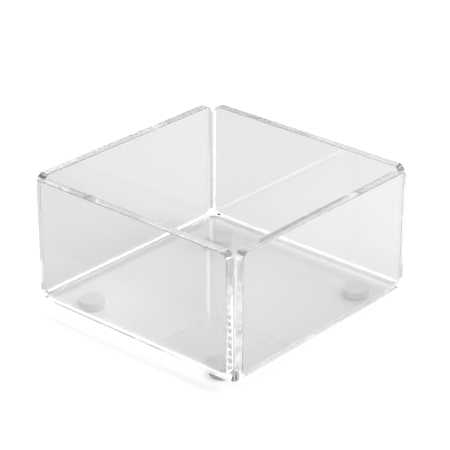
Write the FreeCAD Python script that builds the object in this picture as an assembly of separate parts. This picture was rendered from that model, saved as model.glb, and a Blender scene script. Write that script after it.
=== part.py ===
"""Memo pad holder: an open-topped square box of clear acrylic sheet on four small round feet.

Five flat panels, a base and four walls, meet only along their inner edges, so a square notch runs down
every vertical corner and round the bottom. Every panel has rounded corners and polished edges, and clear
cement in each notch holds two panels together: a thin bead, or under two of the walls a full fill with a
sloping face. The origin is on the table, under the middle of the box. X runs along the front wall, +Z is
up, and lengths are in millimetres.
"""

import FreeCAD, Part
import math
import os

# Driving dimensions
NOTE_WIDTH = 90.0        # the square paper notes, along each side
NOTE_CLEARANCE = 1.0     # gap between the notes and each wall
SHEET = 4.0              # thickness of the acrylic sheet
WALL_HEIGHT = 47.5       # height of a wall panel
CORNER_RADIUS = 3.0      # rounded corner of every panel, seen flat
ARRIS_RADIUS = 0.35      # polished rounding along the edges of every panel
CEMENT_REACH = 0.35      # how far a cement bead runs up the flat of an end face, past the rounding
FILLED_JOINTS = ("right", "back")  # the walls under which cement fills the whole notch
FOOT_DIAMETER = 10.0     # across the top of a foot, where it is stuck on
FOOT_HEIGHT = 3.4        # moulded foot without its adhesive
FOOT_TAPER = 0.25        # how much the side of a foot leans in, from top to bottom
FOOT_ROUNDING = 0.8      # rounding round the bottom of a foot
ADHESIVE_THICKNESS = 0.1  # the film that sticks a foot on
ADHESIVE_MARGIN = 0.2    # how far the film stays inside the edge of a foot
FOOT_INSETS = {          # each foot's middle, in from the inner face of its two nearest walls, along X and Y
    "front": (11.4, 6.9),
    "right": (12.5, 10.0),
    "back": (13.5, 11.0),
    "left": (13.4, 11.3),
}

# Worked out from them
CAVITY = NOTE_WIDTH + 2 * NOTE_CLEARANCE
BASE_UNDERSIDE = FOOT_HEIGHT + ADHESIVE_THICKNESS
FLOOR = BASE_UNDERSIDE + SHEET
CORNER_TURNS = {"front": (1, -1), "right": (1, 1), "back": (-1, 1), "left": (-1, -1)}
SIDES = ("front", "right", "back", "left")  # each a quarter turn from the one before, seen from above

UP = FreeCAD.Vector(0, 0, 1)
ALONG_X = FreeCAD.Vector(1, 0, 0)
CENTRE = FreeCAD.Vector(0, 0, 0)


def arc_through(first, middle, last):
    """The edge of a circle through three points."""
    return Part.Arc(first, middle, last).toShape()


def rounded_outline(length, width, radius):
    """A rectangle in the XY plane, centred, with quarter-circle corners."""
    edges = []
    for quarter in range(4):
        half_run, half_rise = (length / 2, width / 2) if quarter % 2 == 0 else (width / 2, length / 2)
        middle = FreeCAD.Vector(half_run - radius, half_rise - radius, 0)

        def on_arc(degrees):
            angle = math.radians(degrees)
            return middle + FreeCAD.Vector(radius * math.cos(angle), radius * math.sin(angle), 0)

        side_start = FreeCAD.Vector(half_run, radius - half_rise, 0)
        side = Part.LineSegment(side_start, on_arc(0)).toShape()
        corner = arc_through(on_arc(0), on_arc(45), on_arc(90))
        for edge in (side, corner):
            edge.rotate(CENTRE, UP, 90 * quarter)
            edges.append(edge)
    return Part.Wire(edges)


def panel(length, width):
    """A sheet from z = 0 to z = SHEET with rounded corners and both of its arrises polished round."""
    blank = Part.Face(rounded_outline(length, width, CORNER_RADIUS)).extrude(UP * SHEET)
    arrises = [edge for edge in blank.Edges if edge.BoundBox.ZLength < SHEET / 2]
    return blank.makeFillet(ARRIS_RADIUS, arrises)


def base_panel():
    """The floor of the box, as wide as the space between the walls."""
    base = panel(CAVITY, CAVITY)
    base.translate(UP * BASE_UNDERSIDE)
    return base


def wall(side):
    """A wall on the level of the floor, with its inner face on the edge of the base."""
    sheet = panel(CAVITY, WALL_HEIGHT)
    sheet.rotate(CENTRE, ALONG_X, 90)
    sheet.translate(FreeCAD.Vector(0, -CAVITY / 2, FLOOR + WALL_HEIGHT / 2))
    sheet.rotate(CENTRE, UP, 90 * SIDES.index(side))
    return sheet


def cement_bead(length, leg, hollow):
    """Cement along Z between two panels that meet at the Z axis, touching each end face as far as leg.

    One panel fills x < 0, y < 0, the other x > 0, y > 0, and the notch is x > 0, y < 0. The cement fills
    the cusp between the two polished arrises, from where they come nearest. Its face towards the notch is
    a hollow fillet or a flat slope.
    """

    def on_arris(middle, degrees):
        angle = math.radians(degrees)
        x = middle + ARRIS_RADIUS * math.cos(angle)
        y = middle + ARRIS_RADIUS * math.sin(angle)
        return FreeCAD.Vector(x, y, -length / 2)

    # The middles of the two roundings lie at (near, near) and (far, far).
    near, far = -ARRIS_RADIUS, ARRIS_RADIUS
    foot_near = FreeCAD.Vector(0, -leg, -length / 2)
    foot_far = FreeCAD.Vector(leg, 0, -length / 2)
    depth = leg * (1 - math.cos(math.radians(45)))
    deepest = FreeCAD.Vector(depth, -depth, -length / 2)
    slope = Part.LineSegment(foot_near, foot_far).toShape()
    outline = [
        Part.LineSegment(on_arris(far, 225), on_arris(near, 45)).toShape(),
        arc_through(on_arris(near, 45), on_arris(near, 22.5), on_arris(near, 0)),
        Part.LineSegment(on_arris(near, 0), foot_near).toShape(),
        arc_through(foot_near, deepest, foot_far) if hollow else slope,
        Part.LineSegment(foot_far, on_arris(far, 270)).toShape(),
        arc_through(on_arris(far, 270), on_arris(far, 247.5), on_arris(far, 225)),
    ]
    return Part.Face(Part.Wire(outline)).extrude(UP * length)


def corner_cement(corner):
    """The upright bead between two walls, along the straight part of their ends."""
    bead = cement_bead(WALL_HEIGHT - 2 * CORNER_RADIUS, ARRIS_RADIUS + CEMENT_REACH, hollow=True)
    bead.translate(FreeCAD.Vector(CAVITY / 2, -CAVITY / 2, FLOOR + WALL_HEIGHT / 2))
    bead.rotate(CENTRE, UP, 90 * SIDES.index(corner))
    return bead


def base_cement(side):
    """The level cement between the bottom of a wall and the edge of the base."""
    length = CAVITY - 2 * CORNER_RADIUS
    if side in FILLED_JOINTS:
        bead = cement_bead(length, SHEET - ARRIS_RADIUS, hollow=False)
    else:
        bead = cement_bead(length, ARRIS_RADIUS + CEMENT_REACH, hollow=True)
    outwards, along = FreeCAD.Vector(0, -1, 0), FreeCAD.Vector(-1, 0, 0)
    bead.Placement = FreeCAD.Placement(
        FreeCAD.Vector(0, -CAVITY / 2, FLOOR), FreeCAD.Rotation(outwards, UP, along, "ZXY")
    )
    bead.rotate(CENTRE, UP, 90 * SIDES.index(side))
    return bead


def foot_place(corner):
    """The middle of a foot on the table."""
    inset_x, inset_y = FOOT_INSETS[corner]
    turn_x, turn_y = CORNER_TURNS[corner]
    return FreeCAD.Vector(turn_x * (CAVITY / 2 - inset_x), turn_y * (CAVITY / 2 - inset_y), 0)


def foot(corner):
    """A round rubber foot that narrows a little towards a rounded bottom edge."""
    top_radius = FOOT_DIAMETER / 2
    lean = math.atan2(FOOT_TAPER, FOOT_HEIGHT)
    floor_radius = top_radius - FOOT_TAPER
    # The rounding touches the table and the leaning side, so its middle lies one radius from both.
    middle_x = floor_radius + FOOT_ROUNDING * (math.tan(lean) - 1 / math.cos(lean))
    middle = FreeCAD.Vector(middle_x, 0, FOOT_ROUNDING)

    def on_rounding(angle):
        return middle + FreeCAD.Vector(math.cos(angle), 0, math.sin(angle)) * FOOT_ROUNDING

    down, side_way = -math.pi / 2, -lean
    axis_bottom, axis_top = FreeCAD.Vector(0, 0, 0), FreeCAD.Vector(0, 0, FOOT_HEIGHT)
    rim = FreeCAD.Vector(top_radius, 0, FOOT_HEIGHT)
    outline = [
        Part.LineSegment(axis_bottom, on_rounding(down)).toShape(),
        arc_through(on_rounding(down), on_rounding((down + side_way) / 2), on_rounding(side_way)),
        Part.LineSegment(on_rounding(side_way), rim).toShape(),
        Part.LineSegment(rim, axis_top).toShape(),
        Part.LineSegment(axis_top, axis_bottom).toShape(),
    ]
    body = Part.Face(Part.Wire(outline)).revolve(CENTRE, UP, 360)
    body.translate(foot_place(corner))
    return body


def foot_adhesive(corner):
    """The clear film between a foot and the underside of the base."""
    film = Part.makeCylinder(FOOT_DIAMETER / 2 - ADHESIVE_MARGIN, ADHESIVE_THICKNESS)
    film.translate(foot_place(corner) + UP * FOOT_HEIGHT)
    return film


def build():
    """Every piece by its name."""
    pieces = {"base_panel": base_panel()}
    for side in SIDES:
        pieces[side + "_wall"] = wall(side)
        pieces[side + "_base_cement"] = base_cement(side)
    for corner in SIDES:
        pieces[corner + "_corner_cement"] = corner_cement(corner)
        pieces[corner + "_foot"] = foot(corner)
        pieces[corner + "_foot_adhesive"] = foot_adhesive(corner)
    return pieces


os.makedirs("parts", exist_ok=True)
for name, solid in build().items():
    solid.exportStep("parts/" + name + ".step")
    box = solid.BoundBox
    print(f"{name}: {solid.Volume:.1f} mm3, {box.XLength:.2f} x {box.YLength:.2f} x {box.ZLength:.2f} mm,"
          f" valid {solid.isValid()}, solids {len(solid.Solids)}")
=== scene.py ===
# %% [markdown]
# # A clear acrylic memo box
# The box holds a stack of square paper notes. It is five flat sheets of clear acrylic that meet only along
# their inner edges, so an open square notch runs down each upright corner and round the bottom. Clear cement
# holds two sheets together in each notch: a thin bead, or under the right and back walls a full fill with a
# sloping face. Four small soft feet are stuck underneath.
#
# The sheets and feet arrive as a fixed frame in metres. This lesson gives them their finishes, makes the
# cement and the films that have to melt into the sheets, and lights it all. Clear plastic has no colour of
# its own: what the eye reads is the room bent through it, so the lighting is half of the material.

# %% Load the frame
import math

import bpy
import numpy as np
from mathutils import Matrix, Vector


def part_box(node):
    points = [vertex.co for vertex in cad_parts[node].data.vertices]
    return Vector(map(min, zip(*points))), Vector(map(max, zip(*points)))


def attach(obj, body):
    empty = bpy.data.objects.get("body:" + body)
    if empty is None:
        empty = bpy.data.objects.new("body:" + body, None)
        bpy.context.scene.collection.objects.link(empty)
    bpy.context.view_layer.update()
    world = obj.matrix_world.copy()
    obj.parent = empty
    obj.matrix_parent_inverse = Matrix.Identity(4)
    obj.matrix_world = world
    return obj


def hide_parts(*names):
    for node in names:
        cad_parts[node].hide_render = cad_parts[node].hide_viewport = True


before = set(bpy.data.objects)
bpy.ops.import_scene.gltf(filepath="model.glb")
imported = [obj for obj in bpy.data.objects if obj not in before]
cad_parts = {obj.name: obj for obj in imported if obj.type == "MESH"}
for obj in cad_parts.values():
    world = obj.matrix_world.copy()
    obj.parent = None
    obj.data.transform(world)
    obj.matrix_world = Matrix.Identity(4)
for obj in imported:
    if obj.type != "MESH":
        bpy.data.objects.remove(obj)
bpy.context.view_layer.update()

# %% [markdown]
# ## Reading sizes from the frame
# A piece made here has to fit the sheets to a hundredth of a millimetre, so its main sizes are read from the
# frame. Only what a corner can't tell, such as a rounding, is typed in further down.

# %% Sizes of the sheets
MM = 0.001
base_low, base_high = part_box("base_panel")
wall_low, wall_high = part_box("right_wall")
HALF_CAVITY = base_high[0]
FLOOR = base_high[2]
UNDERSIDE = base_low[2]
RIM = wall_high[2]
SHEET = FLOOR - UNDERSIDE
print("cavity", round(2 * HALF_CAVITY / MM, 2), "mm, sheet", round(SHEET / MM, 2), "mm")

# %% [markdown]
# ## The camera
# A small product on a table is shot from a few steps back with a long lens, which keeps its upright edges
# nearly parallel. The camera looks across a corner from about 26 degrees up. Its direction is given by two
# angles, and `to_track_quat` turns that direction into a rotation.

# %% Place the camera
AZIMUTH = math.radians(41.495)
ELEVATION = math.radians(25.568)
toward_camera = Vector((
    math.sin(AZIMUTH) * math.cos(ELEVATION),
    -math.cos(AZIMUTH) * math.cos(ELEVATION),
    math.sin(ELEVATION),
))
camera = bpy.data.objects.new("camera", bpy.data.cameras.new("camera"))
camera.data.sensor_width = 36
camera.data.lens = 148.75
camera.data.clip_start = 0.01
camera.data.clip_end = 50
camera.location = (0.4126, -0.4650, 0.3309)
camera.rotation_mode = "QUATERNION"
camera.rotation_quaternion = (-toward_camera).to_track_quat("-Z", "Y")
bpy.context.scene.collection.objects.link(camera)
bpy.context.scene.camera = camera
image_right = Vector((math.cos(AZIMUTH), math.sin(AZIMUTH), 0))
print("camera stands", round(camera.location.length, 3), "m from the box")

# %% [markdown]
# ## A helper for node trees
# Every material is a small tree of nodes. One function is enough to write them: it adds a node of any kind,
# sets its options, and for each input either types a value in or plugs another node's output in.

# %% Add one node
def add(tree, kind, inputs=None, **settings):
    """Add a node, set its options and fill its inputs with values or with other nodes' outputs."""
    node = tree.nodes.new(kind)
    for name, value in settings.items():
        setattr(node, name, value)
    for name, value in (inputs or {}).items():
        if isinstance(value, bpy.types.NodeSocket):
            tree.links.new(value, node.inputs[name])
        else:
            node.inputs[name].default_value = value
    return node


def new_tree(block):
    """The empty node tree of a new material or world."""
    block.use_nodes = True
    block.node_tree.nodes.clear()
    return block.node_tree


def linear(colour):
    """A colour written as sRGB hex, such as "F4F6F6", as the linear values that shaders expect."""
    parts = np.array([int(colour[i:i + 2], 16) for i in (0, 2, 4)]) / 255
    curve = np.where(parts <= 0.04045, parts / 12.92, ((parts + 0.055) / 1.055) ** 2.4)
    return (*curve.tolist(), 1.0)


print("sRGB 808080 is", round(linear("808080")[0], 3), "as a linear value")

# %% [markdown]
# ## Cast acrylic with flame-polished edges
# The big faces of cast acrylic are as smooth as the glass they were cast between, so their roughness is zero
# and nothing is added. Its refractive index is 1.49. The cut edges are another matter: they were milled,
# scraped and melted smooth with a flame, which leaves long shallow waves along the edge and a haze in
# patches. The waves make the edges sparkle in streaks, and the haze softens what is mirrored inside them.
#
# The waves are a bump made from noise that changes fast across the sheet's thickness and slowly along it, and
# the haze is a roughness from noise of another size. The surface normal says where an edge is: on an edge it
# has no part along the thickness. Sheets lie three ways round, so one function makes the material for each.

# %% Sizes of the waves and the haze
WAVE_ACROSS = 0.8 * MM        # from one streak to the next, across the edge
WAVE_ALONG = 40.0 * MM        # how far a streak runs along the edge
WAVE_HEIGHT = 0.008 * MM      # depth of the streaks
PATCH_ACROSS = 1.6 * MM       # size of a hazy patch, across the edge
PATCH_ALONG = 10.0 * MM       # and along it
HAZE = (0.03, 0.15)           # roughness of the clearest and the haziest patch
NOISE_SPREAD = (0.35, 0.65)   # nearly all values of a noise lie between these
EDGE_TO_FACE = (0.05, 0.6)    # the normal's part along the thickness, where an edge ends and a face begins
ACRYLIC_INDEX = 1.49          # how strongly acrylic bends light
FACE_PASSES = 0.935           # share of the light that goes on through a big face
EDGE_PASSES = 0.3             # and through an edge, which scatters the rest
print("a wave is", round(WAVE_ALONG / WAVE_ACROSS), "times as long as it is wide")

# %% [markdown]
# ## Light on its way through
# Light that falls through clear plastic on a surface behind it is slow to find by tracing, and the table
# would stay almost black. So rays that carry light to a surface, the shadow and the diffuse ones, pass
# straight through and only lose a share. All others see the real plastic.

# %% Let light through
def let_light_through(tree, plastic, share):
    """End a clear material's tree: light on its way to a surface goes straight on, less what is lost."""
    rays = add(tree, "ShaderNodeLightPath")
    on_its_way = add(tree, "ShaderNodeMath", {
        0: rays.outputs["Is Shadow Ray"], 1: rays.outputs["Is Diffuse Ray"],
    }, operation="MAXIMUM")
    straight = add(tree, "ShaderNodeBsdfTransparent", {"Color": share})
    either = add(tree, "ShaderNodeMixShader", {
        0: on_its_way.outputs["Value"], 1: plastic.outputs["BSDF"], 2: straight.outputs["BSDF"],
    })
    add(tree, "ShaderNodeOutputMaterial", {"Surface": either.outputs["Shader"]})


print("a sheet lets", round(100 * FACE_PASSES ** 2), "percent of the light through its two faces")

# %% [markdown]
# ## The material of a sheet
# Both noises and the flatness of the surface come together here. The bump and the roughness fade out where
# the surface turns from an edge to a big face, and so does the share of light that an edge scatters.

# %% The acrylic
def stretched_noise(tree, place, thickness_axis, across, along, detail):
    """Noise whose features measure across in the sheet's thickness and along in the other directions."""
    scale = [1 / along] * 3
    scale["XYZ".index(thickness_axis)] = 1 / across
    stretched = add(tree, "ShaderNodeMapping", {"Vector": place.outputs["Object"], "Scale": scale})
    return add(tree, "ShaderNodeTexNoise", {
        "Vector": stretched.outputs["Vector"], "Scale": 1.0, "Detail": detail,
    }).outputs["Fac"]


def cast_acrylic(name, thickness_axis):
    """Clear acrylic whose thickness lies along X, Y or Z, with wavy and hazy flame-polished edges."""
    material = bpy.data.materials.new(name)
    tree = new_tree(material)
    place = add(tree, "ShaderNodeTexCoord")
    waves = stretched_noise(tree, place, thickness_axis, WAVE_ACROSS, WAVE_ALONG, detail=1.5)
    patches = stretched_noise(tree, place, thickness_axis, PATCH_ACROSS, PATCH_ALONG, detail=2.0)
    facing = add(tree, "ShaderNodeSeparateXYZ", {"Vector": place.outputs["Normal"]})
    flatness = add(tree, "ShaderNodeMath", {0: facing.outputs[thickness_axis]}, operation="ABSOLUTE")
    on_edge = add(tree, "ShaderNodeMapRange", {
        "Value": flatness.outputs["Value"], "From Min": EDGE_TO_FACE[0], "From Max": EDGE_TO_FACE[1],
        "To Min": 1.0, "To Max": 0.0,
    })
    bump = add(tree, "ShaderNodeBump", {
        "Strength": on_edge.outputs["Result"], "Distance": WAVE_HEIGHT, "Height": waves,
    })
    haze = add(tree, "ShaderNodeMapRange", {
        "Value": patches, "From Min": NOISE_SPREAD[0], "From Max": NOISE_SPREAD[1],
        "To Min": HAZE[0], "To Max": HAZE[1],
    })
    roughness = add(tree, "ShaderNodeMath", {
        0: haze.outputs["Result"], 1: on_edge.outputs["Result"],
    }, operation="MULTIPLY")
    plastic = add(tree, "ShaderNodeBsdfPrincipled", {
        "Base Color": linear("FEFEFE"), "Roughness": roughness.outputs["Value"], "IOR": ACRYLIC_INDEX,
        "Transmission Weight": 1.0, "Normal": bump.outputs["Normal"],
    })
    passed = add(tree, "ShaderNodeMapRange", {
        "Value": on_edge.outputs["Result"], "To Min": FACE_PASSES, "To Max": EDGE_PASSES,
    })
    let_light_through(tree, plastic, passed.outputs["Result"])
    return material


SHEETS = {
    "cast_acrylic_level_sheet": ("Z", ("base_panel",)),
    "cast_acrylic_front_and_back": ("Y", ("front_wall", "back_wall")),
    "cast_acrylic_left_and_right": ("X", ("left_wall", "right_wall")),
}
for name, (axis, nodes) in SHEETS.items():
    sheet_material = cast_acrylic(name, axis)
    for node in nodes:
        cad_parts[node].material_slots[0].material = sheet_material
print("acrylic on", sum(len(nodes) for _, nodes in SHEETS.values()), "sheets")

# %% [markdown]
# ## Milky polyurethane feet
# The feet are the clear-to-milky soft bumpers that come on a card. Polyurethane is cast, with an index near
# 1.5 and a satin skin. A little fog inside lets light soak in, so the shader adds some subsurface scattering,
# and a slow noise keeps the fog from being perfectly even.

# %% The feet
FOG_SIZE = 3.0 * MM    # size of a thicker or thinner spot of fog
FOG_SHARE = 0.2        # share of the light that soaks in
FOG_DEPTH = 1.0 * MM   # how far it soaks
SATIN = (0.35, 0.5)    # roughness of the smoothest and the dullest spot of the skin


def milky_polyurethane():
    """Soft cast polyurethane with an uneven milky fog."""
    material = bpy.data.materials.new("milky_polyurethane")
    tree = new_tree(material)
    place = add(tree, "ShaderNodeTexCoord")
    fog = add(tree, "ShaderNodeTexNoise", {
        "Vector": place.outputs["Object"], "Scale": 1 / FOG_SIZE, "Detail": 3.0,
    })
    tint = add(tree, "ShaderNodeMix", {
        "Factor": fog.outputs["Fac"], "A": linear("DEDFDE"), "B": linear("E8E8E7"),
    }, data_type="RGBA")
    satin = add(tree, "ShaderNodeMapRange", {
        "Value": fog.outputs["Fac"], "To Min": SATIN[0], "To Max": SATIN[1],
    })
    rubber = add(tree, "ShaderNodeBsdfPrincipled", {
        "Base Color": tint.outputs["Result"], "Roughness": satin.outputs["Result"], "IOR": 1.5,
        "Subsurface Weight": FOG_SHARE, "Subsurface Scale": FOG_DEPTH,
    })
    add(tree, "ShaderNodeOutputMaterial", {"Surface": rubber.outputs["BSDF"]})
    return material


feet = milky_polyurethane()
CORNERS = ("front", "right", "back", "left")
for corner in CORNERS:
    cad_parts[corner + "_foot"].material_slots[0].material = feet
print("polyurethane on", len(CORNERS), "feet")

# %% [markdown]
# ## Cement that melts into the sheets
# Acrylic cement is a thin solvent that creeps along an inner corner and dries as the same plastic, so a good
# joint has no surface inside it. To get that here, a bead reaches 0.02 mm into each sheet, with its inner
# sides parallel to the sheet's own. Light that crosses the two close, parallel surfaces comes out unbent.
#
# The outline below is the bead seen from its end, where the two sheets meet at (0, 0). It follows one sheet,
# rounds that sheet's polished edge, crosses to the other and closes with a hollow fillet or a flat slope.

# %% The outline of a bead
ARRIS = 0.35 * MM        # polished rounding along the edges of the sheets
THIN_LEG = 0.7 * MM      # how far a thin bead reaches up each end face
CREEP = 0.08 * MM        # how much that reach swings along a joint
SINK = 0.02 * MM         # how far the cement reaches into a sheet
FILLET_POINTS = 13       # points along the hollow face of a thin bead
ARRIS_POINTS = 9         # points round a sheet's polished edge


def arc(middle, radius, start, stop, count):
    """Points at middle + radius * (cos a, sin a), while a goes from start to stop in degrees."""
    a = np.radians(np.linspace(start, stop, count))[:, None]
    return np.array(middle) + radius * np.hstack([np.cos(a), np.sin(a)])


def bead_outline(leg, hollow):
    """Points round a bead, counter-clockwise, with the open notch on the side of x > 0, y < 0."""
    hollow_face = arc((leg, -leg), leg, 180, 90, FILLET_POINTS)
    facing_notch = hollow_face if hollow else np.array([(0, -leg), (leg, 0)])
    return np.vstack([
        facing_notch,
        [(leg, SINK)],
        arc((ARRIS, ARRIS), ARRIS - SINK, 270, 225, ARRIS_POINTS),
        arc((-ARRIS, -ARRIS), ARRIS - SINK, 45, 0, ARRIS_POINTS),
        [(-SINK, -leg)],
    ])


thin_outline = bead_outline(THIN_LEG, hollow=True)
thin_width = float(np.ptp(thin_outline[:, 0]))
print("a thin bead:", len(thin_outline), "points,", round(thin_width / MM, 2), "mm wide")

# %% [markdown]
# ## Sweeping the outline
# A bead is the surface P(u, v) = middle + v * along + x(u, v) * outward + y(u, v) * upward, where (x, y) is
# the outline and v runs from -1 to 1 along the joint. Every point of the outline depends on the leg in a
# straight line, so a leg that swings by `CREEP` only needs two outlines, one of them grown, and a mix of the
# two for each v. The share of the grown one is the mean of a slow and a fast sine, and may be negative.

# %% Make beads
RINGS = 49                            # rings of points along a bead
SWINGS = ((5.1, 1.7), (13.7, 1.0))    # of each sine: its rate along v, and its shift from side to side


def skin(name, rings):
    """A closed mesh over rings of points, shaped (rings, points, 3), with a flat cap at each end."""
    count, around = rings.shape[:2]
    ring, spot = np.meshgrid(np.arange(count - 1), np.arange(around), indexing="ij")
    here = ring * around + spot
    beside = ring * around + (spot + 1) % around
    sides = np.stack([here, beside, beside + around, here + around], axis=-1).reshape(-1, 4)
    first = np.arange(around)
    mesh = bpy.data.meshes.new(name)
    mesh.from_pydata(rings.reshape(-1, 3).tolist(), [], [
        *sides.tolist(), first[::-1].tolist(), (first + (count - 1) * around).tolist(),
    ])
    piece = bpy.data.objects.new(name, mesh)
    bpy.context.scene.collection.objects.link(piece)
    return piece


def bead(name, leg, hollow, middle, along, outward, upward, turns, swing):
    """Sweep the bead's outline along a joint, then turn it by quarter turns about the upright axis."""
    v = np.linspace(-1, 1, RINGS)[:, None, None]
    creep = swing * sum(np.sin(rate * v + shift * turns) for rate, shift in SWINGS) / len(SWINGS)
    outline = bead_outline(leg, hollow)
    xy = outline + creep * (bead_outline(leg + CREEP, hollow) - outline)
    along, outward, upward = (np.array(axis) for axis in (along, outward, upward))
    rings = np.array(middle) + v * along + xy[..., :1] * outward + xy[..., 1:] * upward
    cosine, sine = ((1, 0), (0, 1), (-1, 0), (0, -1))[turns]
    turned = rings @ np.array([(cosine, sine, 0), (-sine, cosine, 0), (0, 0, 1)])
    return skin(name, turned)


print("a bead and its grown outline differ by", CREEP / MM, "mm at most")

# %% [markdown]
# ## Beads in the corners and under the walls
# The four corners take thin beads. Under two walls the notch is filled to a slope that runs from the outer
# edge of the wall to the lower edge of the base, and under the other two it holds a thin bead. Each bead ends
# where the rounded corners of the sheets begin. The cement is the same clear plastic as the sheets.

# %% Place the cement
CORNER_RADIUS = 3.0 * MM     # rounded corners of the sheets
FILLED = ("right", "back")   # the walls under which the cement fills the notch
CLOUD_SIZE = 2.0 * MM        # size of a faintly clouded spot in the cement
BEAD_PASSES = 0.9            # share of the light that goes on through a face of the cement

cement = bpy.data.materials.new("set_acrylic_cement")
tree = new_tree(cement)
place = add(tree, "ShaderNodeTexCoord")
cloud = add(tree, "ShaderNodeTexNoise", {
    "Vector": place.outputs["Object"], "Scale": 1 / CLOUD_SIZE, "Detail": 1.0,
})
tint = add(tree, "ShaderNodeMix", {
    "Factor": cloud.outputs["Fac"], "A": linear("FCFDFD"), "B": linear("FFFFFF"),
}, data_type="RGBA")
set_plastic = add(tree, "ShaderNodeBsdfPrincipled", {
    "Base Color": tint.outputs["Result"], "Roughness": 0.0, "IOR": ACRYLIC_INDEX, "Transmission Weight": 1.0,
})
let_light_through(tree, set_plastic, (BEAD_PASSES, BEAD_PASSES, BEAD_PASSES, 1.0))

upright_run = (0, 0, (RIM - FLOOR) / 2 - CORNER_RADIUS)
level_run = (-(HALF_CAVITY - CORNER_RADIUS), 0, 0)
beads = []
for turns, side in enumerate(CORNERS):
    middle = (HALF_CAVITY, -HALF_CAVITY, (RIM + FLOOR) / 2)
    corner_bead = bead(
        side + "_corner_bead", THIN_LEG, hollow=True, middle=middle, along=upright_run,
        outward=(1, 0, 0), upward=(0, 1, 0), turns=turns, swing=1.0)
    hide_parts(side + "_corner_cement")
    filled = side in FILLED
    leg = SHEET - ARRIS if filled else THIN_LEG
    base_bead = bead(
        side + "_base_bead", leg, hollow=not filled, middle=(0, -HALF_CAVITY, FLOOR), along=level_run,
        outward=(0, -1, 0), upward=(0, 0, 1), turns=turns, swing=0.0 if filled else 1.0)
    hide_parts(side + "_base_cement")
    beads += [corner_bead, base_bead]
for piece in beads:
    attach(piece, "root")
    piece.data.materials.append(cement)
print(len(beads), "beads of cement")

# %% [markdown]
# ## The films under the base
# A foot is stuck on with a clear film. Where the film touches, light leaves the sheet and soaks into the
# foot, so the foot shows pale through the base; round its edge a hair of air stays and shows as a thin ring.
# The film is a flat disc that reaches 0.02 mm into the sheet above it and into the foot below.

# %% Make the films
FILM_RADIUS = 4.8 * MM
FILM_POINTS = 48          # points round a film
FILM_PASSES = 0.98        # share of the light that goes on through a face of a film
WETTING_SIZE = 1.2 * MM   # size of a spot where the gum wets the sheet more or less

adhesive = bpy.data.materials.new("clear_transfer_adhesive")
tree = new_tree(adhesive)
place = add(tree, "ShaderNodeTexCoord")
wetting = add(tree, "ShaderNodeTexNoise", {
    "Vector": place.outputs["Object"], "Scale": 1 / WETTING_SIZE, "Detail": 2.0,
})
tint = add(tree, "ShaderNodeMix", {
    "Factor": wetting.outputs["Fac"], "A": linear("F4F4F2"), "B": linear("FCFCFB"),
}, data_type="RGBA")
film_gum = add(tree, "ShaderNodeBsdfPrincipled", {
    "Base Color": tint.outputs["Result"], "Roughness": 0.0, "IOR": 1.48, "Transmission Weight": 1.0,
})
let_light_through(tree, film_gum, (FILM_PASSES, FILM_PASSES, FILM_PASSES, 1.0))

for corner in CORNERS:
    low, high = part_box(corner + "_foot")
    middle = [(low[0] + high[0]) / 2, (low[1] + high[1]) / 2]
    rim_xy = arc(middle, FILM_RADIUS, 0, 360 - 360 / FILM_POINTS, FILM_POINTS)
    levels = np.array([high[2] - SINK, UNDERSIDE + SINK])
    rings = np.concatenate([
        np.broadcast_to(rim_xy, (2, FILM_POINTS, 2)),
        np.broadcast_to(levels[:, None, None], (2, FILM_POINTS, 1)),
    ], axis=2)
    film = skin(corner + "_foot_film", rings)
    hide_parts(corner + "_foot_adhesive")
    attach(film, "root")
    film.data.materials.append(adhesive)
print("films", round((UNDERSIDE - high[2]) / MM, 3), "mm thick between foot and base")

# %% [markdown]
# ## The table
# The box stands on a pale laminate top. Where the camera looks straight at it, the table adds some light of
# its own, enough to reach white in the open, while the shadow beside the box stays a little darker. Seen
# through the plastic or mirrored in it, the table is only as bright as the light that falls on it.

# %% The table
TABLE_COLOUR = "E6E6E6"
SEEN_OPEN = 0.45   # light added where the camera looks straight at the table
REACH = 4.0        # from the middle of the table to each of its sides, in metres

top_mesh = bpy.data.meshes.new("table")
top_corners = [(x * REACH, y * REACH, 0) for x, y in ((-1, -1), (1, -1), (1, 1), (-1, 1))]
top_mesh.from_pydata(top_corners, [], [(0, 1, 2, 3)])
table = bpy.data.objects.new("table", top_mesh)
bpy.context.scene.collection.objects.link(table)
laminate = bpy.data.materials.new("pale_laminate")
tree = new_tree(laminate)
rays = add(tree, "ShaderNodeLightPath")
added = add(tree, "ShaderNodeMath", {
    0: rays.outputs["Is Camera Ray"], 1: SEEN_OPEN,
}, operation="MULTIPLY")
surface = add(tree, "ShaderNodeBsdfPrincipled", {
    "Base Color": linear(TABLE_COLOUR), "Roughness": 0.12, "IOR": 1.5,
    "Emission Color": (1, 1, 1, 1), "Emission Strength": added.outputs["Value"],
})
add(tree, "ShaderNodeOutputMaterial", {"Surface": surface.outputs["BSDF"]})
top_mesh.materials.append(laminate)
print("table colour", TABLE_COLOUR, "with", SEEN_OPEN, "added in the open")

# %% [markdown]
# ## The room
# A white light tent surrounds the box, and each kind of ray gets its own answer from it. The camera sees
# plain white. Rays that gather soft light for the table and the feet see one plain level. Rays mirrored by a
# surface see white, greyer toward the camera and on the left, where the tent is open.
#
# Rays that come out of the plastic see white too, with the same opening toward the camera. A window on the
# left and one behind on the left, both brighter than the cloth, turn the joints and bottom edges on the left
# white. A dark roof piece behind keeps the joint at the back right from glaring.

# %% Patches of the tent
away = Vector((-math.sin(AZIMUTH), math.cos(AZIMUTH), 0))


def toward(turn, elevation):
    """The direction so many degrees to the right of straight away from the camera, and so many up."""
    turn, elevation = math.radians(turn), math.radians(elevation)
    level = away * math.cos(turn) + image_right * math.sin(turn)
    return level * math.cos(elevation) + Vector((0, 0, math.sin(elevation)))


PALE = 1.0    # the cloth, where it is mirrored or seen through plastic
SOFT = 0.64   # the soft light it gives the table and the feet
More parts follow.
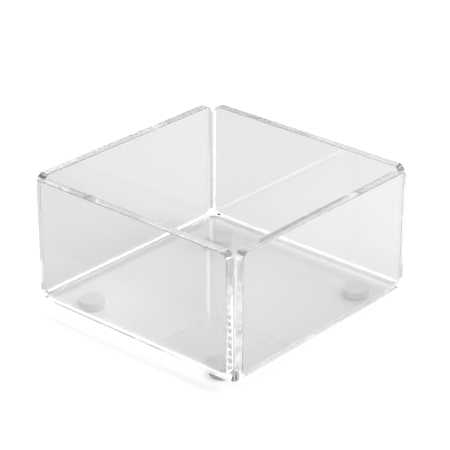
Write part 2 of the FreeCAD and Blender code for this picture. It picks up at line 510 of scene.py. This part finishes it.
# A patch has a middle, two angles in degrees, where it ends and where it is full, and a level.
MIRRORED = {
    "camera_side": (toward_camera, 57, 26, 0.4),
    "left_side": (toward(-90, 0), 66, 26, 0.45),
}
INSIDE = {
    "camera_side": (toward_camera, 57, 26, 0.4),
    "roof_behind": (toward(12, 44), 15, 12, 0.05),
    "left_window": (toward(-90, 25), 50, 30, 2.0),
    "window_behind": (toward(-24, 16), 25, 21, 1.6),
}
print("tent at", PALE, "with", len(MIRRORED), "patches for mirrored rays and", len(INSIDE), "for the inside")

# %% [markdown]
# ## Painting the patches
# A dot product gives the cosine of the angle between a direction and a patch's middle. Each patch blends from
# the level so far to its own, so a later one covers an earlier one. Three steps then put the answers for
# mirrored rays, for rays out of the plastic and for the camera in front of the plain soft level.

# %% The room
world = bpy.data.worlds.new("light_tent")
bpy.context.scene.world = world
tree = new_tree(world)
rays = add(tree, "ShaderNodeLightPath")
direction = add(tree, "ShaderNodeTexCoord")


def tent(patches):
    """The tent with some patches: between a patch's two angles its level takes over, slowly, fast, slowly."""
    level = PALE
    for middle, edge, core, patch_level in patches.values():
        nearness = add(tree, "ShaderNodeVectorMath", {
            0: direction.outputs["Generated"], 1: middle[:],
        }, operation="DOT_PRODUCT")
        level = add(tree, "ShaderNodeMapRange", {
            "Value": nearness.outputs["Value"], "To Min": level, "To Max": patch_level,
            "From Min": math.cos(math.radians(edge)), "From Max": math.cos(math.radians(core)),
        }, interpolation_type="SMOOTHSTEP").outputs["Result"]
    return add(tree, "ShaderNodeBackground", {"Color": level}).outputs["Background"]


shown = add(tree, "ShaderNodeBackground", {"Color": (SOFT, SOFT, SOFT, 1)}).outputs["Background"]
white = add(tree, "ShaderNodeBackground", {"Color": (1, 1, 1, 1)}).outputs["Background"]
for kind, light in (("Glossy", tent(MIRRORED)), ("Transmission", tent(INSIDE)), ("Camera", white)):
    shown = add(tree, "ShaderNodeMixShader", {
        0: rays.outputs["Is " + kind + " Ray"], 1: shown, 2: light,
    }).outputs["Shader"]
add(tree, "ShaderNodeOutputWorld", {"Surface": shown})
print("nodes in the tent:", len(tree.nodes))

# %% [markdown]
# ## The lamps
# Two softboxes stand on the right. The high one is the key light. The low one grazes the table and is
# mirrored by the edges that face it. Rays that come out of the plastic don't see the low one, as it would
# cut a hard zigzag into the end of the right wall. Power is worked out from the brightness of the cloth and
# its area, so a bigger softbox gives more light at the same brightness.

# %% The lamps
def softbox(name, elevation, distance, width, height, brightness):
    """A rectangular lamp on the right, so many degrees above the table, that faces the box.

    Its power is its brightness times pi times its area.
    """
    angle = math.radians(elevation)
    where = image_right * math.cos(angle) + Vector((0, 0, math.sin(angle)))
    light = bpy.data.lights.new(name, "AREA")
    light.shape = "RECTANGLE"
    light.size = width
    light.size_y = height
    light.energy = brightness * math.pi * width * height
    lamp = bpy.data.objects.new(name, light)
    lamp.location = where * distance
    lamp.rotation_mode = "QUATERNION"
    lamp.rotation_quaternion = (-where).to_track_quat("-Z", "Y")
    lamp.visible_camera = False
    bpy.context.scene.collection.objects.link(lamp)
    return lamp


key = softbox("key_softbox", elevation=65, distance=1.2, width=0.6, height=0.6, brightness=4.0)
low = softbox("low_softbox", elevation=28, distance=1.2, width=0.8, height=0.7, brightness=2.2)
low.visible_transmission = False
print("softboxes of", round(key.data.energy, 2), "and", round(low.data.energy, 2), "W")

# %% [markdown]
# ## Enough bounces
# A ray that enters a sheet near its edge is mirrored back and forth inside before it gets out. Each mirroring
# is a bounce, so the limits are raised; with too few, the edges turn black.

# %% Bounces and the view
BOUNCES = 32

cycles = bpy.context.scene.cycles
cycles.max_bounces = BOUNCES
cycles.transmission_bounces = BOUNCES
cycles.glossy_bounces = BOUNCES
bpy.context.scene.view_settings.view_transform = "Standard"
print("bounces:", BOUNCES)
